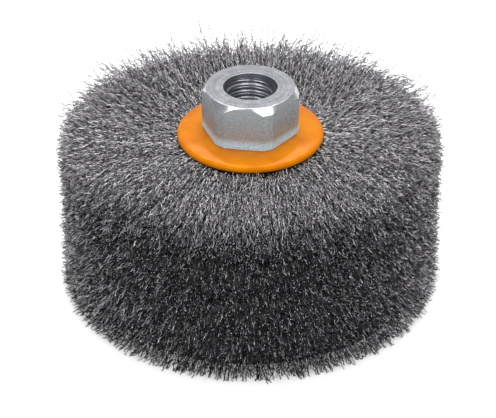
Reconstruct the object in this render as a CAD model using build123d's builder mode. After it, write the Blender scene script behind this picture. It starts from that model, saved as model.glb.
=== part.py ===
from build123d import *
import math
import os

# Crimped wire drum brush for an angle grinder: four wire sections stacked on a threaded hexagon hub.
# Millimetres. The origin is on the spindle axis, at the level of the lowest wire tips. +Z is the spindle axis,
# from the foot of the brush up through the hexagon to the grinder.

os.makedirs("parts", exist_ok=True)

# ---- Driving dimensions ----

# Spindle thread, 5/8"-11 UNC. The bore is modelled at the thread's minor diameter.
thread_major = 15.875
thread_pitch = 25.4 / 11
thread_length = 22.0
mouth_margin = 0.325
relief_margin = 0.725

# Hexagon of the hub: flats, corners turned down, chamfer round its top face
nut_across_flats = 27.0
nut_height = 14.3
nut_corner_turned = 0.89
nut_face_inset = 0.15
nut_chamfer_angle = 58.0
nut_foot_break = 0.25

# Tubular shank of the hub and the lip rolled over at its lower end
shank_wall = 1.7
lip_overhang = 2.3
lip_height = 1.1
lip_floor_gap = 1.0

# Pressed flanges and the washer under the lower one
flange_skirt_width = 5.65
flange_thickness = 1.5
flange_skirt_drop = 1.0
end_washer_overhang = 2.7
end_washer_thickness = 1.5

# One wire section: core ring, the wires bent round it, side plates and the ferrule that pins them
section_count = 4
core_ring_wire = 3.5
side_wire_layer = 2.05
inner_wire_layer = 1.85
plate_overhang = 0.45
plate_thickness = 0.8
ferrule_wall = 0.8
ferrule_flange_width = 2.15
ferrule_flange_thickness = 0.5
spacer_setback = 0.7
spacer_thickness = 1.2

# Wire drum
top_tip_diameter = 114.8
foot_tip_diameter = 117.4
crown_drop = 0.9
rim_level_width = 7.0
crown_round = 5.0
foot_round = 2.5
merge_run = 8.3

# Clearances
slip_fit = 0.05
wire_fit = 0.05
row_gap = 0.2

# ---- Sizes that follow ----

thread_height = thread_pitch * math.sqrt(3) / 2
thread_depth = 5 / 8 * thread_height
minor_radius = thread_major / 2 - thread_depth
mouth_depth = thread_depth + mouth_margin / 2
relief_radius = (thread_major + relief_margin) / 2

shank_radius = relief_radius + shank_wall
lip_radius = shank_radius + lip_overhang
end_washer_radius = lip_radius + end_washer_overhang
arbor_radius = shank_radius + slip_fit
ferrule_radius = arbor_radius + ferrule_wall
ferrule_flange_radius = ferrule_radius + ferrule_flange_width
plate_hole_radius = ferrule_radius + slip_fit

wire_inner_radius = ferrule_radius + wire_fit
cavity_radius = core_ring_wire / 2 + wire_fit
core_radius = wire_inner_radius + inner_wire_layer + core_ring_wire / 2
plate_radius = core_radius + core_ring_wire / 2 + plate_overhang
spacer_radius = plate_radius - spacer_setback
merge_radius = plate_radius + merge_run
flange_radius = plate_radius + flange_skirt_width

clamped_width = core_ring_wire + 2 * side_wire_layer
section_height = clamped_width + 2 * (plate_thickness + ferrule_flange_thickness)
section_pitch = section_height + spacer_thickness

lip_base = lip_floor_gap
washer_base = lip_base + lip_height
bottom_flange_face = washer_base + end_washer_thickness
stack_base = bottom_flange_face + flange_thickness
stack_top = stack_base + section_count * section_pitch - spacer_thickness
nut_base = stack_top + flange_thickness
nut_top = nut_base + nut_height
thread_start = nut_top - thread_length

drum_height = nut_base - crown_drop
face_pitch = drum_height / section_count


def section_base(index):
    """Height of the lower face of a section's ferrule, counted from 0 at the foot."""
    return stack_base + index * section_pitch


def tip_radius(height):
    """Radius of the wire tips at a height: the foot is splayed a little wider than the top."""
    foot, top = foot_tip_diameter / 2, top_tip_diameter / 2
    return foot + (top - foot) * height / drum_height


def finish(builder, name):
    """Label a finished piece and write its STEP file."""
    builder.part.label = name
    export_step(builder.part, f"parts/{name}.step")


# ---- Hub ----

hexagon_apothem = nut_across_flats / 2
corner_radius = hexagon_apothem / math.cos(math.radians(30)) - nut_corner_turned
nut_face_radius = hexagon_apothem - nut_face_inset
chamfer_drop = (corner_radius - nut_face_radius) * math.tan(math.radians(nut_chamfer_angle))
lip_edge_round = 0.7 * lip_height

# The bar that the hexagon is turned from: its corners and the chamfer at its top
with BuildPart() as turned_bar:
    with BuildSketch(Plane.XZ):
        with BuildLine():
            Polyline(
                (0, nut_base),
                (corner_radius - nut_foot_break, nut_base),
                (corner_radius, nut_base + nut_foot_break),
                (corner_radius, nut_top - chamfer_drop),
                (nut_face_radius, nut_top),
                (0, nut_top),
                close=True,
            )
        make_face()
    revolve(axis=Axis.Z)

# Hexagon and tubular shank in one piece, the shank's lower end rolled over as a lip
with BuildPart() as hub_nut:
    with BuildSketch(Plane.XY.offset(nut_base)):
        RegularPolygon(hexagon_apothem, 6, major_radius=False)
    extrude(amount=nut_height)
    add(turned_bar.part, mode=Mode.INTERSECT)
    with BuildSketch(Plane.XY.offset(lip_base)):
        Circle(shank_radius)
    extrude(amount=nut_base - lip_base)
    with BuildSketch(Plane.XY.offset(lip_base)):
        Circle(lip_radius)
    extrude(amount=lip_height)
    lip_edges = hub_nut.edges().filter_by(GeomType.CIRCLE).group_by(Axis.Z)[0]
    fillet(lip_edges.sort_by(SortBy.RADIUS)[-1], lip_edge_round)
    with BuildSketch(Plane.XY.offset(lip_base)):
        Circle(relief_radius)
    extrude(amount=thread_start - lip_base, mode=Mode.SUBTRACT)
    with BuildSketch(Plane.XY.offset(thread_start)):
        Circle(minor_radius)
    extrude(amount=thread_length, mode=Mode.SUBTRACT)
    mouth_edge = hub_nut.edges().filter_by(GeomType.CIRCLE).group_by(Axis.Z)[-1].sort_by(SortBy.RADIUS)[0]
    chamfer(mouth_edge, mouth_depth)
finish(hub_nut, "hub_nut")

# ---- Flanges and end washer ----

skirt_radius = (flange_skirt_width**2 + flange_skirt_drop**2) / (2 * flange_skirt_drop)
flange_edge_round = 0.3 * flange_thickness
skirt_turn = math.asin(flange_skirt_width / skirt_radius) / 2
skirt_mid_radius = plate_radius + skirt_radius * math.sin(skirt_turn)
skirt_mid_drop = skirt_radius * (1 - math.cos(skirt_turn))

# A pressed ring: a flat, then a skirt that curves towards the wires. inward is the way to the wires, -1 or 1.
for name, outer_z, inward in (("top_flange", nut_base, -1), ("bottom_flange", bottom_flange_face, 1)):
    inner_z = outer_z + inward * flange_thickness
    rim_drop = inward * flange_skirt_drop
    mid_drop = inward * skirt_mid_drop
    outer_bend, inner_bend = (plate_radius, outer_z), (plate_radius, inner_z)
    outer_rim, inner_rim = (flange_radius, outer_z + rim_drop), (flange_radius, inner_z + rim_drop)
    with BuildPart() as flange:
        with BuildSketch(Plane.XZ):
            with BuildLine():
                Line((arbor_radius, outer_z), outer_bend)
                ThreePointArc(outer_bend, (skirt_mid_radius, outer_z + mid_drop), outer_rim)
                Line(outer_rim, inner_rim)
                ThreePointArc(inner_rim, (skirt_mid_radius, inner_z + mid_drop), inner_bend)
                Line(inner_bend, (arbor_radius, inner_z))
                Line((arbor_radius, inner_z), (arbor_radius, outer_z))
            make_face()
        revolve(axis=Axis.Z)
        rim_edges = flange.edges().filter_by(GeomType.CIRCLE).sort_by(SortBy.RADIUS)[-2:]
        fillet(rim_edges, flange_edge_round)
    finish(flange, name)

with BuildPart() as end_washer:
    with BuildSketch(Plane.XY.offset(washer_base)):
        Circle(end_washer_radius)
        Circle(arbor_radius, mode=Mode.SUBTRACT)
    extrude(amount=end_washer_thickness)
finish(end_washer, "end_washer")

# ---- Wire sections ----

plate_edge_round = plate_thickness / 4
skirt_under = flange_thickness + flange_skirt_drop + wire_fit


def side_plate(base):
    """A flat steel ring beside the wires, its outer edges rounded over."""
    with BuildPart() as plate:
        with BuildSketch(Plane.XY.offset(base)):
            Circle(plate_radius)
            Circle(plate_hole_radius, mode=Mode.SUBTRACT)
        extrude(amount=plate_thickness)
        fillet(plate.edges().filter_by(GeomType.CIRCLE).sort_by(SortBy.RADIUS)[-2:], plate_edge_round)
    return plate


def ferrule(base):
    """The tubular rivet of one section, with a flange rolled over each side plate."""
    with BuildPart() as tube:
        with BuildSketch(Plane.XY.offset(base)):
            Circle(ferrule_radius)
        extrude(amount=section_height)
        with BuildSketch(Plane.XY.offset(base), Plane.XY.offset(base + section_height - ferrule_flange_thickness)):
            Circle(ferrule_flange_radius)
        extrude(amount=ferrule_flange_thickness)
        with BuildSketch(Plane.XY.offset(base)):
            Circle(arbor_radius)
        extrude(amount=section_height, mode=Mode.SUBTRACT)
    return tube


def core_ring(middle):
    """The round wire ring that the wires are bent round."""
    with BuildPart() as ring:
        with BuildSketch(Plane.XZ):
            with Locations((core_radius, middle)):
                Circle(core_ring_wire / 2)
        revolve(axis=Axis.Z)
    return ring


def wire_row(index):
    """All wires of one section as a closed solid: clamped between its plates, then fanned out to the tips."""
    low = section_base(index) + ferrule_flange_thickness + plate_thickness
    high = low + clamped_width
    is_foot = index == 0
    is_crown = index == section_count - 1
    tip_low = 0 if is_foot else index * face_pitch + row_gap / 2
    tip_high = drum_height if is_crown else (index + 1) * face_pitch - row_gap / 2
    below = section_base(index) - (spacer_thickness - row_gap) / 2
    above = section_base(index + 1) - (spacer_thickness + row_gap) / 2
    route_low = [(merge_radius, below)]
    route_high = [(merge_radius, above)]
    if is_foot:
        foot_level_radius = tip_radius(tip_low) - rim_level_width
        route_low = [(flange_radius, bottom_flange_face + skirt_under), (foot_level_radius, tip_low)]
    if is_crown:
        crown_level_radius = tip_radius(tip_high) - rim_level_width
        route_high = [(crown_level_radius, tip_high), (flange_radius, nut_base - skirt_under)]
    with BuildPart() as row:
        with BuildSketch(Plane.XZ):
            with BuildLine():
                Polyline(
                    (wire_inner_radius, low),
                    (plate_radius, low),
                    *route_low,
                    (tip_radius(tip_low), tip_low),
                    (tip_radius(tip_high), tip_high),
                    *route_high,
                    (plate_radius, high),
                    (wire_inner_radius, high),
                    close=True,
                )
            section = make_face()
            corners = section.vertices().sort_by(Axis.X)[-2:].sort_by(Axis.Y)
            if is_foot:
                fillet(corners[0], foot_round)
            if is_crown:
                fillet(corners[-1], crown_round)
            with Locations((core_radius, (low + high) / 2)):
                Circle(cavity_radius, mode=Mode.SUBTRACT)
        revolve(axis=Axis.Z)
    return row


def spacer(base):
    """The washer between two sections."""
    with BuildPart() as washer:
        with BuildSketch(Plane.XY.offset(base)):
            Circle(spacer_radius)
            Circle(arbor_radius, mode=Mode.SUBTRACT)
        extrude(amount=spacer_thickness)
    return washer


for index in range(section_count):
    base = section_base(index)
    number = index + 1
    plate_base = base + ferrule_flange_thickness
    finish(ferrule(base), f"row_ferrule_{number}")
    finish(side_plate(plate_base), f"lower_plate_{number}")
    finish(side_plate(plate_base + plate_thickness + clamped_width), f"upper_plate_{number}")
    finish(core_ring(base + section_height / 2), f"core_ring_{number}")
    finish(wire_row(index), f"wire_row_{number}")
    if number < section_count:
        finish(spacer(base + section_height), f"spacer_{number}")
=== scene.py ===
"""Looks of a crimped wire drum brush: single wires, zinc-plated hub, enamelled flanges and a white studio."""
import logging
import math
from dataclasses import dataclass, field, fields
from enum import Enum
from typing import Any, Iterable, Sequence

import bpy
import numpy as np
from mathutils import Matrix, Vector


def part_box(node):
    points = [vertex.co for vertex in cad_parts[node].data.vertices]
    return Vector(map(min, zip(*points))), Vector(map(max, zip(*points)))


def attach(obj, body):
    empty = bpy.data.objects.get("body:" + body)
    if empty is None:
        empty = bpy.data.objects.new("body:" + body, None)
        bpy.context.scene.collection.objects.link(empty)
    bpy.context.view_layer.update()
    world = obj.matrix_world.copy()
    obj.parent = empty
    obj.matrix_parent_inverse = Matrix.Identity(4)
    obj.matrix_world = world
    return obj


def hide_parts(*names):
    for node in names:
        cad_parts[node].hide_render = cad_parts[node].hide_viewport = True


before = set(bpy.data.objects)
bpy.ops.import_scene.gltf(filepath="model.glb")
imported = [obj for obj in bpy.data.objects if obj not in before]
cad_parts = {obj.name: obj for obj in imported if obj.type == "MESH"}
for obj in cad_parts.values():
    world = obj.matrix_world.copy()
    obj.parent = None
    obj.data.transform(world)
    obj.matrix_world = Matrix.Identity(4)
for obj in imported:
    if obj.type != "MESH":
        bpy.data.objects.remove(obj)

MM = 0.001
TURN = 2 * math.pi
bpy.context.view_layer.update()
LOG = logging.getLogger("wire_drum_brush")

Colour = tuple[float, float, float, float]


def linear(hex_code: str) -> Colour:
    """Turn an sRGB hex colour into Blender's linear colour.

    Args:
        hex_code: Six hex digits, with or without a leading hash.

    Returns:
        Red, green, blue and an alpha of one.
    """
    digits = hex_code.lstrip("#")
    channels = [int(digits[i:i + 2], 16) / 255 for i in (0, 2, 4)]
    red, green, blue = (c / 12.92 if c <= 0.04045 else ((c + 0.055) / 1.055) ** 2.4 for c in channels)
    return red, green, blue, 1.0


class Graph:
    """A node tree that is being built."""

    def __init__(self, tree: bpy.types.NodeTree) -> None:
        """Take a tree to add to.

        Args:
            tree: An empty or a fresh node tree.
        """
        self.tree = tree

    def feed(self, node: bpy.types.Node, feeds: dict[Any, Any]) -> None:
        """Link or set a node's inputs.

        Args:
            node: The node.
            feeds: Input names or numbers, each with a value, a socket, or a node whose first output is used.
        """
        for key, value in feeds.items():
            source = value.outputs[0] if isinstance(value, bpy.types.Node) else value
            if isinstance(source, bpy.types.NodeSocket):
                self.tree.links.new(source, node.inputs[key])
            else:
                node.inputs[key].default_value = source

    def add(self, kind: str, feeds: dict[Any, Any] | None = None, **settings: Any) -> bpy.types.Node:
        """Add a node with its settings and links.

        Args:
            kind: Blender's name for the node's type.
            feeds: What goes into its inputs, as for feed.
            **settings: The node's own properties.

        Returns:
            The new node.
        """
        node = self.tree.nodes.new(kind)
        for name, value in settings.items():
            setattr(node, name, value)
        self.feed(node, feeds or {})
        return node

    def calc(self, operation: str, *values: Any) -> bpy.types.NodeSocket:
        """Add one arithmetic step.

        Args:
            operation: Blender's name for the operation.
            *values: Its operands, numbers or sockets.

        Returns:
            The result's socket.
        """
        return self.add("ShaderNodeMath", dict(enumerate(values)), operation=operation).outputs[0]


class Surface(Graph):
    """A material's node tree, with its shader and its object coordinates at hand."""

    def __init__(self, name: str) -> None:
        """Start a new material.

        Args:
            name: The material's name.
        """
        self.material = bpy.data.materials.new(name)
        self.material.use_nodes = True
        super().__init__(self.material.node_tree)
        self.shader = self.tree.nodes["Principled BSDF"]
        self.coordinates = self.add("ShaderNodeTexCoord")
        self.place = self.coordinates.outputs["Object"]

    def noise(self, place: Any, size: float, detail: float = 2.0) -> bpy.types.NodeSocket:
        """Add a cloudy pattern.

        Args:
            place: Where it is looked up.
            size: Size of its lumps in metres.
            detail: How many finer layers it has.

        Returns:
            Its value, from nought to one.
        """
        feeds = {"Vector": place, "Scale": 1 / size, "Detail": detail}
        return self.add("ShaderNodeTexNoise", feeds).outputs[0]

    def spread(
        self, value: Any, low: float, high: float, start: float = 0.0, end: float = 1.0
    ) -> bpy.types.NodeSocket:
        """Map a range onto another, held at both ends.

        Args:
            value: What is mapped.
            low: The value that gives start.
            high: The value that gives end.
            start: Result at low.
            end: Result at high.

        Returns:
            The mapped value.
        """
        return self.add("ShaderNodeMapRange", {0: value, 1: low, 2: high, 3: start, 4: end}).outputs[0]

    def mix(self, share: Any, start: Any, end: Any) -> bpy.types.NodeSocket:
        """Blend two colours.

        Args:
            share: How much of the second one, from nought to one.
            start: A hex colour or a socket.
            end: A hex colour or a socket.

        Returns:
            The blended colour.
        """
        ends = [linear(colour) if isinstance(colour, str) else colour for colour in (start, end)]
        return self.add("ShaderNodeMix", {0: share, 6: ends[0], 7: ends[1]}, data_type="RGBA").outputs[2]

    def ramp(self, value: Any, stops: Sequence[tuple[float, str]]) -> bpy.types.NodeSocket:
        """Colour a value with a ramp of two stops.

        Args:
            value: What is coloured.
            stops: Position and hex colour of the first and the second stop.

        Returns:
            The colour.
        """
        node = self.add("ShaderNodeValToRGB", {0: value})
        for element, (position, colour) in zip(node.color_ramp.elements, stops):
            element.position = position
            element.color = linear(colour)
        return node.outputs[0]

    def bump(self, height: Any, strength: float, depth: float) -> bpy.types.NodeSocket:
        """Add a fine relief.

        Args:
            height: Its pattern.
            strength: How strongly it shows.
            depth: Its depth in metres.

        Returns:
            The bent normal.
        """
        feeds = {"Strength": strength, "Distance": depth, "Height": height}
        return self.add("ShaderNodeBump", feeds).outputs[0]

    def done(self, inputs: dict[str, Any]) -> bpy.types.Material:
        """Feed the shader.

        Args:
            inputs: The shader's inputs, as for feed.

        Returns:
            The finished material.
        """
        self.feed(self.shader, inputs)
        return self.material


class Slot(Enum):
    """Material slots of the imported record."""

    ZINC = "zinc_plated_steel"
    ENAMEL = "orange_paint"
    WIRE = "wire_steel"
    STEEL = "bright_steel"


# ---- Finishes ----


@dataclass(frozen=True)
class ZincPlate:
    """Zinc plating over turned and milled steel.

    To the eye it is pale grey with fine turning rings, duller on the milled flats, powdery where the flats come
    near the flange with a pale bluish band of painted reflection, and dark inside the countersink, partly
    thinner zinc and partly painted shade.
    """

    colour: str = "c7c9cf"
    shade: str = "b3b5ba"
    # The pale bluish band at the foot of the hexagon is a painted reflection.
    foot_tint: str = "e0f4fc"
    foot_shade: str = "bccfd8"
    # Bore and countersink colours: partly thinner zinc, partly painted shade.
    bore_colour: str = "b4b4bc"
    sink_colour: str = "5c5d66"
    side_colour: str = "cad4d8"
    side_shade: str = "a0a9ad"
    roughness: float = 0.22
    side_roughness: float = 0.60
    foot_roughness: float = 0.9
    bore_roughness: float = 0.30
    unevenness: float = 0.05
    mark_pitch: float = 0.55 * MM
    mark_height: float = 0.004 * MM
    mark_strength: float = 0.35
    cloud_size: float = 3.0 * MM
    grit_size: float = 0.5 * MM
    blotch_low: float = 0.75
    blotch_high: float = 1.25
    grit_low: float = 0.3
    grit_high: float = 0.7
    level_slope: float = 0.35
    steep_slope: float = 0.15
    seat_height: float = field(default_factory=lambda: top("top_flange") - 0.1 * MM)
    foot_low: float = field(default_factory=lambda: top("top_flange") + 2.6 * MM)
    foot_high: float = field(default_factory=lambda: top("top_flange") + 4.6 * MM)
    foot_ragged: float = 1.6 * MM
    sink_height: float = field(default_factory=lambda: top("hub_nut") - 1.6 * MM)
    sink_fade: float = 0.2 * MM
    bore_radius: float = 8.26 * MM
    bore_fade: float = 0.1 * MM

    def build(self) -> bpy.types.Material:
        """Make the material.

        Returns:
            A metal with turning rings round the spindle axis and cloudy zinc colour.
        """
        skin = Surface("zinc_plated_steel")
        parts = skin.add("ShaderNodeSeparateXYZ", {0: skin.place})
        height = parts.outputs[2]
        flat = skin.add("ShaderNodeCombineXYZ", {0: parts.outputs[0], 1: parts.outputs[1]})
        distance = skin.add("ShaderNodeVectorMath", {0: flat}, operation="LENGTH").outputs["Value"]
        rings = skin.add("ShaderNodeCombineXYZ", {0: distance, 2: height})
        marks = skin.noise(rings, self.mark_pitch, 3.0)
        clouds = skin.noise(skin.place, self.cloud_size, 4.0)
        tone = skin.spread(skin.calc("ADD", clouds, marks), self.blotch_low, self.blotch_high)
        turned = skin.mix(tone, self.shade, self.colour)

        # Faces that stand upright are milled flats: duller and grittier than what was turned.
        facing = skin.add("ShaderNodeSeparateXYZ", {0: skin.coordinates.outputs["Normal"]}).outputs[2]
        upright = skin.spread(skin.calc("ABSOLUTE", facing), self.level_slope, self.steep_slope)
        grit = skin.noise(skin.place, self.grit_size, 4.0)
        gritty = skin.spread(grit, self.grit_low, self.grit_high)
        side = skin.mix(gritty, self.side_shade, self.side_colour)
        milled = skin.mix(upright, turned, side)

        # A ragged pale bluish band at the foot of the hexagon, painted as a reflection, and nowhere below the
        # flange.
        ragged = skin.calc("MULTIPLY_ADD", grit, self.foot_ragged, height)
        low = skin.spread(ragged, self.foot_high, self.foot_low)
        foot = skin.calc("MULTIPLY", low, skin.calc("GREATER_THAN", height, self.seat_height))
        with_foot_reflection = skin.mix(foot, milled, skin.mix(gritty, self.foot_shade, self.foot_tint))

        # Inside the bore: darker, and darkest in the countersink; partly thinner zinc, partly painted shade.
        sink_shade_share = skin.spread(height, self.sink_height, self.sink_height + self.sink_fade)
        bore = skin.mix(sink_shade_share, self.bore_colour, self.sink_colour)
        inside = skin.spread(distance, self.bore_radius, self.bore_radius - self.bore_fade)
        colour = skin.mix(inside, with_foot_reflection, bore)

        sides = skin.calc("MULTIPLY", upright, skin.calc("SUBTRACT", 1.0, inside))
        outer = skin.spread(sides, 0.0, 1.0, self.roughness, self.side_roughness)
        inner = skin.add("ShaderNodeMix", {0: inside, 2: outer, 3: self.bore_roughness})
        rough = skin.add("ShaderNodeMix", {0: foot, 2: inner, 3: self.foot_roughness})
        uneven = skin.spread(clouds, 0.0, 1.0, -self.unevenness, self.unevenness)
        return skin.done({
            "Base Color": colour,
            "Roughness": skin.calc("ADD", rough, uneven),
            "Normal": skin.bump(marks, self.mark_strength, self.mark_height),
            "Metallic": 1.0,
        })


@dataclass(frozen=True)
class OrangeEnamel:
    """Baked orange enamel on a pressed ring: an even, glossy film with a trace of orange peel."""

    colour: str = "ca7804"
    deep: str = "ba6201"
    sheen: str = "ffb84a"
    roughness: float = 0.18
    shine: float = 0.30
    peel_size: float = 0.9 * MM
    peel_strength: float = 0.12
    peel_depth: float = 0.02 * MM
    patch_size: float = 6.0 * MM
    patch_low: float = 0.3
    patch_high: float = 0.7

    def build(self) -> bpy.types.Material:
        """Make the material.

        Returns:
            A glossy paint with a slight colour drift, partly its own and partly painted highlights and
            reflections, and a fine ripple.
        """
        skin = Surface("orange_enamel")
        # Colour patches: partly the paint's own drift, partly painted highlights and reflections.
        drift_and_highlights = skin.noise(skin.place, self.patch_size, 3.0)
        peel = skin.noise(skin.place, self.peel_size)
        return skin.done({
            "Base Color": skin.ramp(drift_and_highlights, [(self.patch_low, self.deep), (self.patch_high, self.colour)]),
            "Normal": skin.bump(peel, self.peel_strength, self.peel_depth),
            "Roughness": self.roughness,
            "Specular IOR Level": self.shine,
            "Specular Tint": linear(self.sheen),
        })


@dataclass(frozen=True)
class CrimpedWire:
    """Drawn and crimped carbon steel wire: grey metal, each wire with its own tone, drawing scuffs along it."""

    dark: str = "2a282b"
    light: str = "c4c2c5"
    dark_at: float = 0.25
    light_at: float = 1.15
    roughness: float = 0.30
    smoother: float = 0.1
    rougher: float = 0.12
    scuff_size: float = 1.2 * MM
    scuff_share: float = 0.5

    def build(self) -> bpy.types.Material:
        """Make the material.

        Returns:
            A metal whose tone follows the wire_tone attribute of each wire.
        """
        skin = Surface("crimped_steel_wire")
        tone = skin.add("ShaderNodeAttribute", attribute_name="wire_tone").outputs["Fac"]
        scuffs = skin.noise(skin.place, self.scuff_size)
        drift = skin.calc("MULTIPLY_ADD", scuffs, self.scuff_share, tone)
        low, high = self.roughness - self.smoother, self.roughness + self.rougher
        return skin.done({
            "Base Color": skin.ramp(drift, [(self.dark_at, self.dark), (self.light_at, self.light)]),
            "Roughness": skin.spread(scuffs, 0.0, 1.0, low, high),
            "Metallic": 1.0,
        })


@dataclass(frozen=True)
class PackShade:
    """Painted shade for the wire deep in the pack, where hardly any light reaches: near black with faint
    streaks.
    """

    dark: str = "1c1b1d"
    light: str = "464547"
    dark_at: float = 0.4
    light_at: float = 0.65
    streak: float = 0.7 * MM
    relief: float = 0.3 * MM
    relief_strength: float = 0.8
    metallic: float = 0.6
    roughness: float = 0.65

    def build(self) -> bpy.types.Material:
        """Make the material.

        Returns:
            A dark metal, rough and streaked, painted as shade.
        """
        skin = Surface("packed_steel_wire")
        streaks = skin.noise(skin.place, self.streak)
        return skin.done({
            "Base Color": skin.ramp(streaks, [(self.dark_at, self.dark), (self.light_at, self.light)]),
            "Normal": skin.bump(streaks, self.relief_strength, self.relief),
            "Metallic": self.metallic,
            "Roughness": self.roughness,
        })


@dataclass(frozen=True)
class PressedSteel:
    """Bare cold-rolled sheet and bent wire: dull grey steel with fine rolling grain."""

    colour: str = "8d8e90"
    shade: str = "6d6e70"
    grain: float = 0.5 * MM
    grain_stretch: tuple[float, float, float] = (0.1, 1.0, 1.0)
    grain_strength: float = 0.2
    grain_depth: float = 0.01 * MM
    roughness: float = 0.42

    def build(self) -> bpy.types.Material:
        """Make the material.

        Returns:
            A metal with a grain stretched along X.
        """
        skin = Surface("cold_rolled_steel")
        stretch = skin.add("ShaderNodeMapping", {"Vector": skin.place, "Scale": self.grain_stretch})
        grain = skin.noise(stretch, self.grain, 3.0)
        return skin.done({
            "Base Color": skin.ramp(grain, [(0.0, self.shade), (1.0, self.colour)]),
            "Normal": skin.bump(grain, self.grain_strength, self.grain_depth),
            "Metallic": 1.0,
            "Roughness": self.roughness,
        })


@dataclass(frozen=True)
class OpalTable:
    """White opal acrylic lit from below: a matt white that hardly takes a shadow."""

    colour: str = "f4f4f4"
    glow: float = 0.25
    shine: float = 0.1
    roughness: float = 0.9
    grain: float = 2.0 * MM
    grain_strength: float = 0.02
    grain_depth: float = 0.01 * MM

    def build(self) -> bpy.types.Material:
        """Make the material.

        Returns:
            A matt, faintly glowing white.
        """
        skin = Surface("opal_acrylic")
        grain = skin.noise(skin.place, self.grain)
        return skin.done({
            "Base Color": linear(self.colour),
            "Normal": skin.bump(grain, self.grain_strength, self.grain_depth),
            "Roughness": self.roughness,
            "Specular IOR Level": self.shine,
            "Emission Color": linear(self.colour),
            "Emission Strength": self.glow,
        })


# ---- Mesh helpers ----


def object_of(name: str, mesh: bpy.types.Mesh) -> bpy.types.Object:
    """Put a mesh in the scene as an object at the origin.

    Args:
        name: The object's name.
        mesh: Its mesh.

    Returns:
        The new object.
    """
    piece = bpy.data.objects.new(name, mesh)
    bpy.context.scene.collection.objects.link(piece)
    return piece


def ring_surface(name: str, rings: Sequence[np.ndarray], material: bpy.types.Material) -> bpy.types.Object:
    """Skin a closed run of rings, each a loop of the same number of points, into one closed surface.

    Args:
        name: The piece's name.
        rings: Arrays of points in metres, counter-clockwise from above, going round the section so that
            the surface's outside is to the right of the way the rings run.
        material: Its finish.

    Returns:
        The new object, smooth shaded.
    """
    columns = len(rings[0])
    points = np.concatenate(rings)
    ring_index = np.arange(len(rings))[:, None]
    column_index = np.arange(columns)[None, :]
    here = ring_index * columns + column_index
    beside = ring_index * columns + (column_index + 1) % columns
    below = ((ring_index + 1) % len(rings)) * columns + column_index
    below_beside = ((ring_index + 1) % len(rings)) * columns + (column_index + 1) % columns
    faces = np.stack([here, below, below_beside, beside], axis=-1).reshape(-1, 4)
    mesh = bpy.data.meshes.new(name)
    mesh.from_pydata(points.tolist(), [], faces.tolist())
    mesh.shade_smooth()
    mesh.materials.append(material)
    mesh.update()
    return object_of(name, mesh)


EASE_SHARE = 0.2  # of the shorter side beside a corner, the most that a rounding takes
EASE_STEPS = (0.0, 0.33, 0.67, 1.0)
HOLD = 2.2  # roundings away from its corner, the loop that holds a flat


def eased(corners: Sequence[np.ndarray], size: float) -> list[np.ndarray]:
    """Round the inner corners of a section and hold the flats beside them.

    Args:
        corners: Section points in order, each an array of radii over an array of heights, one per column.
        size: How far a rounding reaches along both sides of its corner.

    Returns:
        The first corner, the rounded corners in between, and the last corner.
    """
    section = [corners[0]]
    for before, corner, after in zip(corners, corners[1:], corners[2:]):
        back, ahead = before - corner, after - corner
        back_length, ahead_length = np.linalg.norm(back, axis=0), np.linalg.norm(ahead, axis=0)
        cut = np.minimum(size, EASE_SHARE * np.minimum(back_length, ahead_length))
        start, end = corner + back / back_length * cut, corner + ahead / ahead_length * cut
        section.append(corner + back / back_length * cut * HOLD)
        for t in EASE_STEPS:
            section.append((1 - t) ** 2 * start + 2 * t * (1 - t) * corner + t**2 * end)
        section.append(corner + ahead / ahead_length * cut * HOLD)
    section.append(corners[-1])
    return section


def turned_rings(section: Sequence[np.ndarray], angles: np.ndarray) -> list[np.ndarray]:
    """Turn section points into rings of points round the spindle axis.

    Args:
        section: Radii over heights, one pair of arrays for each ring.
        angles: Column angles.

    Returns:
        One array of points for each ring.
    """
    return [np.stack([r * np.cos(angles), r * np.sin(angles), z], axis=1) for r, z in section]


def with_modifier_applied(piece: bpy.types.Object) -> bpy.types.Object:
    """Turn a piece's modifiers into plain mesh.

    Args:
        piece: An object with live modifiers.

    Returns:
        The same object, with the evaluated mesh and no modifier.
    """
    graph = bpy.context.evaluated_depsgraph_get()
    mesh = bpy.data.meshes.new_from_object(piece.evaluated_get(graph))
    piece.modifiers.clear()
    piece.data = mesh
    return piece


def seat(piece: bpy.types.Object, replaced: Iterable[str] = ()) -> bpy.types.Object:
    """Fix a finished piece to the brush and hide the CAD nodes that it stands for.

    Args:
        piece: The finished piece.
        replaced: CAD nodes that it stands for.

    Returns:
        The same piece.
    """
    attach(piece, "root")
    for node in replaced:
        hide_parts(node)
    LOG.info("%s: %d faces", piece.name, len(piece.data.polygons))
    return piece


def top(node: str) -> float:
    """Height of a CAD node's highest point.

    Args:
        node: The node's name.

    Returns:
        Metres.
    """
    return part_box(node)[1].z


def bottom(node: str) -> float:
    """Height of a CAD node's lowest point.

    Args:
        node: The node's name.

    Returns:
        Metres.
    """
    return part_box(node)[0].z


def reach(node: str) -> float:
    """Radius of a round CAD node, from the spindle axis.

    Args:
        node: The node's name.

    Returns:
        Metres.
    """
    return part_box(node)[1].x


# ---- Hub ----


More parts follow.
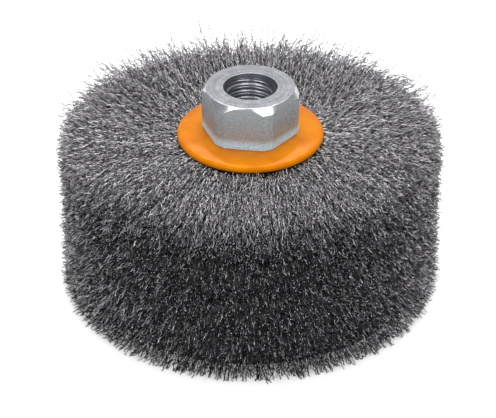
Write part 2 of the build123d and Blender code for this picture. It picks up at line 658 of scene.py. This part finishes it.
@dataclass
class HubNut:
    """The hexagon with its thread, tubular shank and rolled lip, turned from one bar. Lengths in metres."""

    top_z: float = field(default_factory=lambda: top("hub_nut"))
    base_z: float = field(default_factory=lambda: top("top_flange"))
    lip_low: float = field(default_factory=lambda: bottom("hub_nut"))
    lip_high: float = field(default_factory=lambda: bottom("end_washer"))
    corner: float = field(default_factory=lambda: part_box("hub_nut")[1].x)
    apothem: float = field(default_factory=lambda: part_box("hub_nut")[1].y)
    face_inset: float = 0.15 * MM
    chamfer_angle: float = math.radians(58)
    foot_break: float = 0.25 * MM
    edge: float = 0.10 * MM
    thread_major: float = 15.875 * MM / 2
    pitch: float = 25.4 * MM / 11
    thread_length: float = 22.0 * MM
    mouth: float = 8.1 * MM
    relief: float = 8.3 * MM
    shank: float = 10.0 * MM
    lip: float = 12.3 * MM
    lip_side: float = 0.7 * MM
    lip_bevel: float = 1.0 * MM
    row_height: float = 0.19 * MM
    crease_turn: float = 0.03
    crease_ease: float = 0.03 * MM

    def column_angles(self) -> np.ndarray:
        """Angles of the mesh's columns: coarse on the flats, fine where a flat meets a turned corner.

        Returns:
            Angles in radians, counted from the X axis.
        """
        meet = math.acos(self.apothem / self.corner)
        half_face = math.pi / 6
        before, after = meet - self.crease_turn, meet + self.crease_turn
        flat = np.linspace(0, before, 12)[:-1]
        crease = np.linspace(before, after, 7)
        turned = np.linspace(after, half_face, 4)[1:]
        half = np.concatenate([flat, crease, turned])
        face = np.concatenate([-half[:0:-1], half[:-1]])
        return np.concatenate([face + math.pi / 6 + side * math.pi / 3 for side in range(6)])

    def outline(self, angles: np.ndarray) -> np.ndarray:
        """Radius of the hexagon with turned corners, its creases eased.

        Args:
            angles: Column angles.

        Returns:
            A radius for each column.
        """
        from_face = (angles % (math.pi / 3)) - math.pi / 6
        flat = self.apothem / np.cos(from_face)
        ease = self.crease_ease
        return -ease * np.log(np.exp(-flat / ease + self.corner / ease) + 1.0) + self.corner

    def thread_wall(self, angles: np.ndarray, height: float) -> np.ndarray:
        """Radius of the bore's wall: a right-hand thread, opened by the countersink.

        Args:
            angles: Column angles.
            height: Height above the floor.

        Returns:
            A radius for each column.
        """
        # A 60 degree thread: five eighths of the sharp depth, a root an eighth and a crest a quarter wide.
        depth = 5 / 8 * self.pitch * math.sqrt(3) / 2
        minor = self.thread_major - depth
        phase = (height - self.base_z) / self.pitch - angles / TURN
        from_root = np.abs((phase + 0.5) % 1.0 - 0.5)
        flank = np.clip((from_root - 1 / 16) / (5 / 16), 0, 1)
        wall = self.thread_major - depth * flank
        countersink = self.mouth - (self.top_z - height)
        return np.maximum(np.maximum(wall, countersink), minor)

    def build(self, finish: bpy.types.Material) -> bpy.types.Object:
        """Skin the hub from the countersink outwards, down the outside, and back up through the bore.

        Args:
            finish: Its material.

        Returns:
            The hub, seated.
        """
        angles = self.column_angles()
        outer = self.outline(angles)
        face = self.apothem - self.face_inset
        drop = (outer - face) * math.tan(self.chamfer_angle)
        thread_low = self.top_z - self.thread_length
        corners = [
            ((self.mouth + face) / 2, self.top_z),
            (face, self.top_z),
            (outer, self.top_z - drop),
            (outer, self.base_z + self.foot_break),
            (outer - self.foot_break, self.base_z),
            (self.shank, self.base_z),
            (self.shank, self.lip_high),
            (self.lip, self.lip_high),
            (self.lip, self.lip_low + self.lip_side),
            (self.lip - self.lip_bevel, self.lip_low),
            (self.relief, self.lip_low),
            (self.relief, thread_low),
        ]
        plain = np.ones_like(angles)
        section = eased([np.stack([r * plain, z * plain]) for r, z in corners], self.edge)
        rows = int(round((self.thread_length - self.edge) / self.row_height))
        for height in np.linspace(thread_low, self.top_z - self.edge, rows):
            section.append(np.stack([self.thread_wall(angles, height), height * plain]))
        for out, down in ((0.05, 0.3), (0.5, 0.0), (2.0, 0.0)):
            edge = np.stack([(self.mouth + out * self.edge) * plain, (self.top_z - down * self.edge) * plain])
            section.append(edge)
        hub = ring_surface("hub_nut_threaded", turned_rings(section, angles), finish)
        return seat(hub, ["hub_nut"])


# ---- Flanges ----


@dataclass
class PressedFlange:
    """An enamelled steel ring: a flat, a shoulder and a skirt that curves towards the wires.

    inward is the way to the wires along Z: -1 for the top one, 1 for the bottom one. Lengths in metres.
    """

    node: str
    inward: int
    bore: float = 10.05 * MM
    thickness: float = 1.5 * MM
    drop: float = 1.0 * MM
    edge: float = 0.45 * MM
    bore_break: float = 0.1 * MM
    arc_points: int = 9
    columns: int = 192

    def build(self, finish: bpy.types.Material) -> bpy.types.Object:
        """Turn the ring's section round the axis.

        Args:
            finish: Its material.

        Returns:
            The flange, seated.
        """
        outer_z = top(self.node) if self.inward < 0 else bottom(self.node)
        rim = reach(self.node)
        flat = reach("upper_plate_1")
        skirt = rim - flat
        bend = (skirt**2 + self.drop**2) / (2 * self.drop)
        turn = math.asin(skirt / bend)
        sweep = np.linspace(0, turn * (1 - self.edge / skirt), self.arc_points)
        outside = [(flat + bend * math.sin(a), bend * (1 - math.cos(a))) for a in sweep]
        rounding = np.linspace(0, math.pi, self.arc_points)[1:-1]
        half = self.thickness / 2
        nose = [
            (rim - self.edge + self.edge * math.sin(a), self.drop + half - half * math.cos(a))
            for a in rounding
        ]
        inside = [(r, d + self.thickness) for r, d in outside[::-1]]
        eased_bore, chip = self.bore + self.bore_break, self.bore_break
        bore = [
            (eased_bore, self.thickness),
            (self.bore, self.thickness - chip),
            (self.bore, chip),
            (eased_bore, 0.0),
        ]
        section = [((self.bore + flat) / 2, 0.0)] + outside + nose + inside + bore
        if self.inward > 0:
            section = section[::-1]
        angles = np.linspace(0, TURN, self.columns, endpoint=False)
        plain = np.ones_like(angles)
        points = [np.stack([r * plain, (outer_z + self.inward * depth) * plain]) for r, depth in section]
        piece = ring_surface(f"{self.node}_pressing", turned_rings(points, angles), finish)
        return seat(piece, [self.node])


# ---- Wires ----


class Zone(Enum):
    """Where a layer of long wires shows: all over the crown, on its outer half, or under the foot."""

    CROWN = "crown"
    RIM = "rim"
    FOOT = "foot"


@dataclass(frozen=True)
class Layer:
    """A layer of wires shown along much of their length.

    Attributes:
        zone: Where it shows.
        count: How many wires it has.
        batches: How many pieces they are split into.
        depth: How far it goes into the drum, in metres.
        segments: Straight runs in one wire.
        hidden: Share of a wire, from its root, that is left out.
    """

    zone: Zone
    count: int
    batches: int
    depth: float
    segments: int
    hidden: float


@dataclass
class Batch:
    """One batch of wires: how many, where they start and end, and how they stray.

    Lengths are in metres and angles in radians. Each field but the name is an input of the wire tree.
    """

    name: str
    count: int
    seed: int
    angle_start: float
    angle_span: float
    root_radius: float
    root_low: float
    root_high: float
    tip_low: float
    tip_high: float
    tip_radius_low: float
    tip_radius_high: float
    edge_height: float
    shown_from: float
    segments: int
    edge_round: float = 5.0 * MM
    rise_scatter: float = 0.9 * MM
    stray_rise: float = 0.0
    length_scatter: float = 1.0 * MM
    lean: float = 0.05
    wander: float = 0.28 * MM
    crimp_length: float = 2.1 * MM
    crimp_height: float = 0.31 * MM
    wire_radius: float = 0.15 * MM
    # Painted shade: how much darker the wires grow towards the foot.
    foot_dirt: float = 0.0


class WireGrower:
    """The Geometry Nodes tree that grows a batch of crimped wires."""

    SEED_STEP = 97.0
    GOLDEN = (math.sqrt(5) - 1) / 2

    def __init__(self) -> None:
        """Build the tree once; every batch uses it with its own inputs."""
        self.tree = bpy.data.node_groups.new("crimped_wires", "GeometryNodeTree")
        kinds = {"Material": "NodeSocketMaterial"}
        for size in fields(Batch)[1:]:
            label = size.name.replace("_", " ").title()
            kinds[label] = "NodeSocketInt" if size.type is int else "NodeSocketFloat"
        self.sockets = {}
        for name, kind in kinds.items():
            self.sockets[name] = self.tree.interface.new_socket(name, in_out="INPUT", socket_type=kind)
        self.tree.interface.new_socket("Geometry", in_out="OUTPUT", socket_type="NodeSocketGeometry")
        self.graph = Graph(self.tree)
        self.calc = self.graph.calc
        self.given = self.graph.add("NodeGroupInput")
        self.draws = 0
        self.wire = None
        self.grow()

    def ask(self, name: str) -> bpy.types.NodeSocket:
        """Look up an input of the tree.

        Args:
            name: The input's name.

        Returns:
            Its socket.
        """
        return self.given.outputs[name]

    def draw(self, low: float, high: float) -> bpy.types.NodeSocket:
        """A random number for each wire, the same at all its points.

        Args:
            low: Lowest value.
            high: Highest value.

        Returns:
            The number's socket.
        """
        self.draws += 1
        seed = self.calc("ADD", self.ask("Seed"), self.SEED_STEP * self.draws)
        feeds = {2: low, 3: high, "ID": self.wire, "Seed": seed}
        return self.graph.add("FunctionNodeRandomValue", feeds, data_type="FLOAT").outputs[1]

    def glint(self) -> bpy.types.NodeSocket:
        """A random number for each point of a wire, a little wider than nought to one, that paints glints into
        the wire's tone.

        Returns:
            The number's socket.
        """
        feeds = {2: -0.3, 3: 1.3, "Seed": self.ask("Seed")}
        return self.graph.add("FunctionNodeRandomValue", feeds, data_type="FLOAT").outputs[1]

    def blend(self, share: Any, start: Any, end: Any) -> bpy.types.NodeSocket:
        """A value part of the way from start to end.

        Args:
            share: How far along, from nought to one.
            start: The value at nought.
            end: The value at one.

        Returns:
            The value's socket.
        """
        span = self.calc("SUBTRACT", end, start)
        return self.calc("MULTIPLY_ADD", span, share, start)

    def grow(self) -> None:
        """Lay out the tree: straight curves, moved onto their crimped paths, then given a section."""
        graph = self.graph
        line = graph.add("GeometryNodeCurvePrimitiveLine")
        points = self.calc("ADD", self.ask("Segments"), 1.0)
        fine = graph.add("GeometryNodeResampleCurve", {"Curve": line, "Count": points}, mode="COUNT")
        copies = graph.add(
            "GeometryNodeDuplicateElements",
            {"Geometry": fine, "Amount": self.ask("Count")},
            domain="SPLINE",
        )
        self.wire = copies.outputs["Duplicate Index"]
        along = graph.add("GeometryNodeSplineParameter").outputs["Factor"]
        reach_share = self.blend(along, self.ask("Shown From"), 1.0)
        late = self.calc("POWER", reach_share, 2.0)

        # Which way the wire points, and how it leans.
        place = self.calc("ADD", self.wire, self.draw(0.0, 1.0))
        share = self.calc("DIVIDE", place, self.ask("Count"))
        start_angle = self.calc("MULTIPLY_ADD", share, self.ask("Angle Span"), self.ask("Angle Start"))
        sway = self.draw(-1.0, 1.0)
        tilt = self.calc("MULTIPLY_ADD", self.calc("POWER", sway, 3.0), 1.6, self.calc("MULTIPLY", sway, 0.7))
        lean = self.calc("MULTIPLY", tilt, self.ask("Lean"))
        angle = self.calc("MULTIPLY_ADD", lean, late, start_angle)

        # Where it leaves the plates and where its tip is: strays stand up, the drum's edge is rounded.
        golden = self.calc("MULTIPLY", self.wire, self.GOLDEN)
        level = self.calc("FRACT", self.calc("ADD", golden, self.draw(0.0, 0.08)))
        root_height = self.blend(level, self.ask("Root Low"), self.ask("Root High"))
        tip_level = self.blend(level, self.ask("Tip Low"), self.ask("Tip High"))
        edge_gap = self.calc("ABSOLUTE", self.calc("SUBTRACT", self.ask("Edge Height"), tip_level))
        edge_share = self.calc("SUBTRACT", 1.0, self.calc("DIVIDE", edge_gap, self.ask("Edge Round")))
        edge_share = self.calc("MAXIMUM", edge_share, 0.0)
        squared = self.calc("MULTIPLY", edge_share, edge_share)
        edge_arc = self.calc("SQRT", self.calc("SUBTRACT", 1.0, squared))
        trimmed = self.calc("MULTIPLY", self.ask("Edge Round"), self.calc("SUBTRACT", 1.0, edge_arc))
        stray_share = self.calc("POWER", self.draw(0.0, 1.0), 2.3)
        stray = self.calc("MULTIPLY", self.calc("MULTIPLY", stray_share, self.ask("Stray Rise")), level)
        scatter = self.calc("MULTIPLY_ADD", self.draw(-1.0, 1.0), self.ask("Rise Scatter"), stray)
        tip_height = self.calc("ADD", tip_level, scatter)
        tip_radius = self.blend(level, self.ask("Tip Radius Low"), self.ask("Tip Radius High"))
        unbent = self.calc("MULTIPLY_ADD", stray_share, -1.5, 1.0)
        regrown = self.calc("MULTIPLY", trimmed, unbent)
        longer = self.draw(-1.0, 1.0)
        longer_stray = self.calc("POWER", longer, 5.0)
        extra = self.calc("MULTIPLY_ADD", longer_stray, 1.2, self.calc("MULTIPLY", longer, 0.7))
        kept = self.calc("SUBTRACT", tip_radius, regrown)
        tip_reach = self.calc("MULTIPLY_ADD", extra, self.ask("Length Scatter"), kept)
        radius = self.blend(reach_share, self.ask("Root Radius"), tip_reach)
        height = self.blend(self.calc("POWER", reach_share, 1.5), root_height, tip_height)

        # The crimp, in a plane of its own, and a slow wander on top of it.
        length = self.calc("SUBTRACT", tip_reach, self.ask("Root Radius"))
        pitch = self.calc("MULTIPLY", self.ask("Crimp Length"), self.draw(0.82, 1.2))
        waves = self.calc("DIVIDE", self.calc("MULTIPLY", length, reach_share), pitch)
        phase = self.calc("MULTIPLY_ADD", waves, TURN, self.draw(0.0, TURN))
        swing = self.calc("MULTIPLY", self.ask("Crimp Height"), self.draw(0.6, 1.35))
        offset = self.calc("MULTIPLY", self.calc("SINE", phase), swing)
        roll = self.draw(0.0, TURN)
        onset = self.calc("MINIMUM", self.calc("MULTIPLY", reach_share, 5.0), 1.0)
        play = self.calc("MULTIPLY", onset, self.ask("Wander"))
        slow = self.calc("MULTIPLY_ADD", reach_share, self.draw(14.0, 34.0), self.draw(0.0, TURN))
        drift = self.calc("MULTIPLY", self.calc("SINE", slow), play)
        slow_up = self.calc("MULTIPLY_ADD", reach_share, self.draw(28.0, 64.0), self.draw(0.0, TURN))
        drift_up = self.calc("MULTIPLY", self.calc("MULTIPLY", self.calc("SINE", slow_up), play), 2.2)
        sideways = self.calc("MULTIPLY_ADD", offset, self.calc("COSINE", roll), drift)
        upwards = self.calc("MULTIPLY_ADD", offset, self.calc("SINE", roll), drift_up)

        # The path, kept clear of the floor.
        cos_a = self.calc("COSINE", angle)
        sin_a = self.calc("SINE", angle)
        out_x, out_y = self.calc("MULTIPLY", radius, cos_a), self.calc("MULTIPLY", radius, sin_a)
        side_x, side_y = self.calc("MULTIPLY", sideways, sin_a), self.calc("MULTIPLY", sideways, cos_a)
        x = self.calc("SUBTRACT", out_x, side_x)
        y = self.calc("ADD", out_y, side_y)
        floor_clear = self.calc("MULTIPLY", self.ask("Wire Radius"), 1.2)
        z = self.calc("MAXIMUM", self.calc("ADD", height, upwards), floor_clear)
        position = graph.add("ShaderNodeCombineXYZ", {0: x, 1: y, 2: z})
        bent = graph.add("GeometryNodeSetPosition", {"Geometry": copies, "Position": position})
        # The tone: part the wire's own, part painted glints at its points, and lower towards the foot as
        # painted shade.
        lowness = self.calc("POWER", self.calc("SUBTRACT", 1.0, level), 3.0)
        painted_darkening = self.calc("MULTIPLY", lowness, self.ask("Foot Dirt"))
        tone = self.calc("SUBTRACT", self.blend(0.5, self.draw(0.0, 1.0), self.glint()), painted_darkening)
        toned = graph.add(
            "GeometryNodeStoreNamedAttribute",
            {"Geometry": bent, "Name": "wire_tone", "Value": tone},
            data_type="FLOAT",
            domain="POINT",
        )
        turned = graph.add("GeometryNodeSetCurveTilt", {"Curve": toned, "Tilt": self.draw(0.0, TURN)})
        section = graph.add(
            "GeometryNodeCurvePrimitiveCircle",
            {"Resolution": 3, "Radius": self.ask("Wire Radius")},
            mode="RADIUS",
        )
        tubes = graph.add(
            "GeometryNodeCurveToMesh",
            {"Curve": turned, "Profile Curve": section, "Fill Caps": True},
        )
        smooth = graph.add("GeometryNodeSetShadeSmooth", {"Geometry": tubes, "Shade Smooth": True})
        real = graph.add("GeometryNodeRealizeInstances", {"Geometry": smooth})
        dressed = graph.add("GeometryNodeSetMaterial", {"Geometry": real, "Material": self.ask("Material")})
        graph.add("NodeGroupOutput", {"Geometry": dressed})

    def build(self, batch: Batch, finish: bpy.types.Material) -> bpy.types.Object:
        """Grow one batch as a plain mesh.

        Args:
            batch: Its sizes.
            finish: Its material.

        Returns:
            The wires, not yet seated.
        """
        piece = object_of(batch.name, bpy.data.meshes.new(batch.name))
        grower = piece.modifiers.new("crimped_wires", "NODES")
        grower.node_group = self.tree
        for name, socket in self.sockets.items():
            field_name = name.lower().replace(" ", "_")
            grower[socket.identifier] = finish if name == "Material" else getattr(batch, field_name)
        return with_modifier_applied(piece)


@dataclass
class WireDrum:
    """All four wire rows: loose wires at the crown, the face and the foot, over a pack painted dark as shade.

    Lengths are in metres.
    """

    rows: int = 4
    root_radius: float = field(default_factory=lambda: reach("upper_plate_1"))
    foot_radius: float = 58.7 * MM
    crown_radius: float = 57.4 * MM
    height: float = field(default_factory=lambda: top("wire_row_4"))
    face_count: int = 4500
    face_segments: int = 5
    face_shown: float = 4.4 * MM
    crown_depth: float = 6.0 * MM
    foot_depth: float = 1.8 * MM
    layers: tuple[Layer, ...] = (
        Layer(Zone.CROWN, 2400, 5, 6.0 * MM, 54, 0.06),
        Layer(Zone.RIM, 1700, 2, 6.0 * MM, 27, 0.52),
        Layer(Zone.FOOT, 480, 1, 2.4 * MM, 42, 0.06),
    )
    crown_overlap: float = 3.0 * MM
    foot_press: float = 0.6 * MM
    pack_inset: float = 4.5 * MM
    pack_bore: float = 11.0 * MM
    pack_gap: float = 0.05 * MM
    pack_bevel: float = 1.0 * MM
    pack_shoulder: float = 8.0 * MM
    pack_swell: float = 1.8 * MM
    pack_sink: float = 1.2 * MM
    crown_round: float = 3.2 * MM
    foot_round: float = 0.5 * MM
    crown_stray: float = 9.5 * MM
    foot_wire: float = 0.15 * MM
    crown_wire: float = 0.135 * MM
    # Painted shade on the lowest wires of the face and of the foot.
    face_dirt: float = 0.25
    foot_dirt: float = 0.4
    columns: int = 160

    @property
    def pitch(self) -> float:
        """Height of one row.

        Returns:
            Metres.
        """
        return self.height / self.rows

    def tip_radius(self, height: float) -> float:
        """Radius of the tips at a height.

        Args:
            height: Height above the floor.

        Returns:
            The radius.
        """
        return self.foot_radius + (self.crown_radius - self.foot_radius) * height / self.height

    def clamp(self, row: int) -> tuple[float, float]:
        """Lowest and highest wire between the plates of a row.

        Args:
            row: The row, counted from 1 at the foot.

        Returns:
            Both heights.
        """
        return top(f"lower_plate_{row}"), bottom(f"upper_plate_{row}")

    def face(self, row: int) -> Batch:
        """The tips of one row, seen on the drum's face.

        Args:
            row: The row, counted from 1 at the foot.

        Returns:
            Their batch.
        """
        low, high = self.clamp(row)
        tip_low, tip_high = (row - 1) * self.pitch, row * self.pitch
        if row == 1:
            tip_low -= self.foot_press
        if row == self.rows:
            tip_high -= self.crown_overlap
        length = self.foot_radius - self.root_radius
        return Batch(
            name=f"wire_row_{row}_face",
            count=self.face_count,
            seed=1000 * row,
            angle_start=0.0,
            angle_span=TURN,
            root_radius=self.root_radius,
            root_low=low,
            root_high=high,
            tip_low=tip_low,
            tip_high=tip_high,
            tip_radius_low=self.tip_radius(tip_low),
            tip_radius_high=self.tip_radius(tip_high),
            edge_height=self.height if row > self.rows / 2 else 0.0,
            edge_round=self.crown_round if row > self.rows / 2 else self.foot_round,
            shown_from=1 - self.face_shown / length,
            foot_dirt=self.face_dirt if row == 1 else 0.0,
            segments=self.face_segments,
        )

    def long_wires(self, layer: Layer, part: int) -> Batch:
        """One sector of a layer of long wires.

        Args:
            layer: The layer.
            part: The sector, counted from 1.

        Returns:
            Its batch.
        """
        at_foot = layer.zone is Zone.FOOT
        row = 1 if at_foot else self.rows
        low, high = self.clamp(row)
        share = layer.depth / self.pitch * (high - low)
        tip_low = -self.foot_press if at_foot else self.height - layer.depth
        tip_high = layer.depth if at_foot else self.height
        return Batch(
            name=f"wire_row_{row}_{layer.zone.value}_{part}",
            count=layer.count // layer.batches,
            seed=20000 * row + 500 * part + 7000 * (layer.zone is Zone.RIM),
            angle_start=TURN * (part - 1) / layer.batches,
            angle_span=TURN / layer.batches,
            root_radius=self.root_radius,
            root_low=low if at_foot else high - share,
            root_high=low + share if at_foot else high,
            tip_low=tip_low,
            tip_high=tip_high,
            tip_radius_low=self.tip_radius(tip_low),
            tip_radius_high=self.tip_radius(tip_high),
            edge_height=0.0 if at_foot else self.height,
            edge_round=self.foot_round if at_foot else self.crown_round,
            stray_rise=0.0 if at_foot else self.crown_stray,
            wire_radius=self.foot_wire if at_foot else self.crown_wire,
            shown_from=layer.hidden,
            foot_dirt=self.foot_dirt if at_foot else 0.0,
            segments=layer.segments,
        )

    def pack(self, row: int, finish: bpy.types.Material) -> bpy.types.Object:
        """The dense wires behind the loose ones, as one closed ring painted dark as shade.

        Args:
            row: The row, counted from 1 at the foot.
            finish: Its material.

        Returns:
            The ring, not yet seated.
        """
        is_foot, is_crown = row == 1, row == self.rows
        low, high = self.clamp(row)
        floor, ceiling = (row - 1) * self.pitch, row * self.pitch
        outer_low = self.tip_radius(floor) - self.pack_inset
        outer_high = self.tip_radius(ceiling) - self.pack_inset
        tip_low = floor + (self.foot_depth if is_foot else self.pack_gap)
        tip_high = ceiling - (self.crown_depth if is_crown else self.pack_gap)
        mid_low = low + (self.pack_sink if is_foot else -self.pack_swell)
        mid_high = high + (-self.pack_sink if is_crown else self.pack_swell)
        shoulder = self.root_radius + self.pack_shoulder
        bevel = self.pack_bevel
        section = [
            (self.pack_bore, high),
            (self.root_radius, high),
            (shoulder, mid_high),
            (outer_high - bevel, tip_high),
            (outer_high, tip_high - bevel),
            (outer_low, tip_low + bevel),
            (outer_low - bevel, tip_low),
            (shoulder, mid_low),
            (self.root_radius, low),
            (self.pack_bore, low),
        ]
        angles = np.linspace(0, TURN, self.columns, endpoint=False)
        rings = turned_rings([(r, np.full_like(angles, z)) for r, z in section], angles)
        return ring_surface(f"wire_row_{row}_pack", rings, finish)

    def build(self, wire: bpy.types.Material, packed: bpy.types.Material) -> None:
        """Grow and seat every batch and pack.

        Args:
            wire: The loose wires' material.
            packed: The packs' material, painted shade.
        """
        grower = WireGrower()
        for row in range(1, self.rows + 1):
            seat(self.pack(row, packed), [f"wire_row_{row}"])
            seat(grower.build(self.face(row), wire), [f"wire_row_{row}"])
        for layer in self.layers:
            for part in range(1, layer.batches + 1):
                batch = self.long_wires(layer, part)
                row = 1 if layer.zone is Zone.FOOT else self.rows
                seat(grower.build(batch, wire), [f"wire_row_{row}"])


# ---- Hidden steel parts ----


def dress_inner_parts(steel: bpy.types.Material, zinc: bpy.types.Material) -> None:
    """Give the plates, ferrules, rings, spacers and end washer their finish.

    Args:
        steel: Material of the pressed parts.
        zinc: Material of the end washer.
    """
    for name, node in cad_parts.items():
        if node.hide_render:
            continue
        is_washer = name == "end_washer"
        node.data.materials.clear()
        node.data.materials.append(zinc if is_washer else steel)
        LOG.info("%s: dressed", name)


# ---- Studio ----


@dataclass(frozen=True)
class SoftBox:
    """One soft box, placed from the camera's side. Lengths in metres, power in watts."""

    name: str
    right: float
    away: float
    up: float
    width: float
    height: float
    power: float


@dataclass
class Studio:
    """White light table, soft boxes and the camera. Lengths in metres, the lens in millimetres."""

    distance: float = 0.51504
    elevation: float = math.radians(33.65)
    azimuth: float = math.radians(9.18)
    target_z: float = 0.02123
    lens: float = 119.15
    shift: float = -0.00478
    floor_size: float = 6.0
    air: float = 0.42
    sensor: float = 36.0
    clip: float = 0.01
    aim_height: float = 0.04
    boxes: tuple[SoftBox, ...] = (
        SoftBox("soft_box_above", 0.0, 0.2, 0.9, 0.7, 0.7, 7.6),
        SoftBox("soft_box_front_left", -0.75, -1.0, 0.72, 0.8, 0.9, 7.6),
        SoftBox("soft_box_front_right", 0.65, -1.0, 0.72, 0.9, 0.9, 9.0),
        SoftBox("soft_box_back", 0.0, 1.2, 0.75, 1.3, 1.3, 0.8),
        SoftBox("soft_box_high_back", 0.0, 0.9, 1.1, 1.0, 0.5, 5.5),
    )

    def turned(self, right: float, away: float, up: float) -> Vector:
        """A point given from the camera's side, turned to the camera's azimuth.

        Args:
            right: Metres to the camera's right.
            away: Metres away from the camera.
            up: Metres above the floor.

        Returns:
            The point in the frame.
        """
        c, s = math.cos(self.azimuth), math.sin(self.azimuth)
        return Vector((c * right - s * away, s * right + c * away, up))

    def aim(self, thing: bpy.types.Object, target: Vector) -> None:
        """Point a camera or a light at a target.

        Args:
            thing: The camera or light.
            target: Where it looks.
        """
        thing.rotation_euler = (target - thing.location).to_track_quat("-Z", "Y").to_euler()

    def light(self, box: SoftBox) -> None:
        """Hang one soft box and aim it at the brush.

        Args:
            box: The soft box.
        """
        light = bpy.data.lights.new(box.name, "AREA")
        light.shape = "RECTANGLE"
        light.size = box.width
        light.size_y = box.height
        light.energy = box.power
        lamp = bpy.data.objects.new(box.name, light)
        bpy.context.scene.collection.objects.link(lamp)
        lamp.location = self.turned(box.right, box.away, box.up)
        self.aim(lamp, Vector((0, 0, self.aim_height)))

    def build(self, table: bpy.types.Material) -> None:
        """Make the floor, world, lights and camera.

        Args:
            table: The floor's material.
        """
        scene = bpy.context.scene
        half = self.floor_size / 2
        mesh = bpy.data.meshes.new("studio_floor")
        corners = [(-half, -half, 0), (half, -half, 0), (half, half, 0), (-half, half, 0)]
        mesh.from_pydata(corners, [], [(0, 1, 2, 3)])
        mesh.materials.append(table)
        object_of("studio_floor", mesh)

        world = bpy.data.worlds.new("studio_air")
        world.use_nodes = True
        scene.world = world
        graph = Graph(world.node_tree)
        background = world.node_tree.nodes["Background"]
        seen = graph.add("ShaderNodeLightPath").outputs["Is Camera Ray"]
        strength = graph.add("ShaderNodeMapRange", {0: seen, 3: self.air, 4: 1.0})
        world.node_tree.links.new(strength.outputs[0], background.inputs["Strength"])
        background.inputs["Color"].default_value = (1, 1, 1, 1)

        for box in self.boxes:
            self.light(box)

        lens = bpy.data.cameras.new("camera")
        lens.lens = self.lens
        lens.sensor_width = self.sensor
        lens.shift_x = self.shift
        lens.clip_start = self.clip
        camera = bpy.data.objects.new("camera", lens)
        scene.collection.objects.link(camera)
        back = self.distance * math.cos(self.elevation)
        up = self.distance * math.sin(self.elevation)
        camera.location = self.turned(0, -back, self.target_z + up)
        self.aim(camera, Vector((0, 0, self.target_z)))
        scene.camera = camera
        scene.view_settings.view_transform = "Standard"


def main() -> None:
    """Build the brush and its studio."""
    logging.basicConfig(level=logging.INFO, format="%(name)s %(message)s")
    zinc = ZincPlate().build()
    enamel = OrangeEnamel().build()
    steel = PressedSteel().build()
    HubNut().build(zinc)
    PressedFlange("top_flange", -1).build(enamel)
    PressedFlange("bottom_flange", 1).build(enamel)
    WireDrum().build(CrimpedWire().build(), PackShade().build())
    dress_inner_parts(steel, zinc)
    Studio().build(OpalTable().build())


if __name__ == "__main__":
    main()
